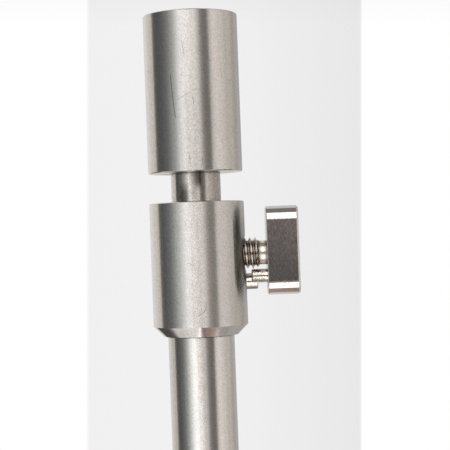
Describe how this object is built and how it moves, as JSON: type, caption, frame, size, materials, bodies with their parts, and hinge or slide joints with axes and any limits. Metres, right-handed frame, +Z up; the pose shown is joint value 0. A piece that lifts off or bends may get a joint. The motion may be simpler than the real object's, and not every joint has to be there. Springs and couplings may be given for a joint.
{
  "type": "telescopic ground stake with thumbscrew lock",
  "caption": "Two-stage stainless telescopic ground stake with a threaded head, a block-knob thumbscrew lock with stop pins, and a screw-in ground point.",
  "frame": {"origin": "on the pole's axis at the outer tube's lower end, which is the ground line when the point is pushed in", "axes": "+Z up the pole towards the head; the thumbscrew stands out along +X"},
  "size_m": [0.0356, 0.0228, 0.2358],
  "materials": {
    "satin_steel": "fine satin-turned stainless steel",
    "satin_steel_collar": "fine satin-turned stainless steel",
    "bright_tube": "smooth ground stainless tube",
    "satin_tube": "centreless-polished stainless tube",
    "satin_knob": "fine satin stainless steel",
    "bright_screw": "bright machined stainless thread",
    "ground_pin": "ground stainless dowel",
    "point_steel": "turned stainless steel",
    "spring_steel": "dark oiled spring steel",
    "turned_aluminium": "turned aluminium",
    "pad_brass": "turned brass",
    "black_acetal": "moulded acetal",
    "washer_nylon": "black nylon",
    "seal_rubber": "black nitrile rubber"
  },
  "bodies": {
    "lower_stage": {"outer_tube": "satin_tube", "collar": "satin_steel_collar", "collar_seal": "seal_rubber", "collar_stop_pin": "ground_pin", "foot_insert": "turned_aluminium", "ground_point": "point_steel", "point_washer": "washer_nylon"},
    "guide": {"guide_bush": "black_acetal"},
    "upper_stage": {"head": "satin_steel", "inner_tube": "bright_tube", "inner_plug": "turned_aluminium", "retaining_ring": "spring_steel"},
    "screw_pad": {"clamp_pad": "pad_brass"},
    "thumbscrew": {"thumbscrew_stud": "bright_screw", "thumbscrew_knob": "satin_knob", "knob_stop_screw": "ground_pin"}
  },
  "joints": [
    {"name": "stage_slide", "type": "slide", "parent": "lower_stage", "child": "guide", "axis": [0, 0, 1], "range_m": [-0.00715, 0.0828]},
    {"name": "stage_turn", "type": "hinge", "parent": "guide", "child": "upper_stage", "pos_m": [0, 0, 0.0355], "axis": [0, 0, 1], "continuous": true},
    {"name": "screw_advance", "type": "slide", "parent": "lower_stage", "child": "screw_pad", "axis": [-1, 0, 0], "range_m": [0, 0.0009375]},
    {"name": "screw_turn", "type": "hinge", "parent": "screw_pad", "child": "thumbscrew", "pos_m": [0.0084, 0, 0.12787], "axis": [-1, 0, 0], "range_deg": [0, 270]}
  ],
  "couplings": [
    {"joint": "screw_turn", "follows": "screw_advance", "rad_per_m": 5026.5}
  ]
}
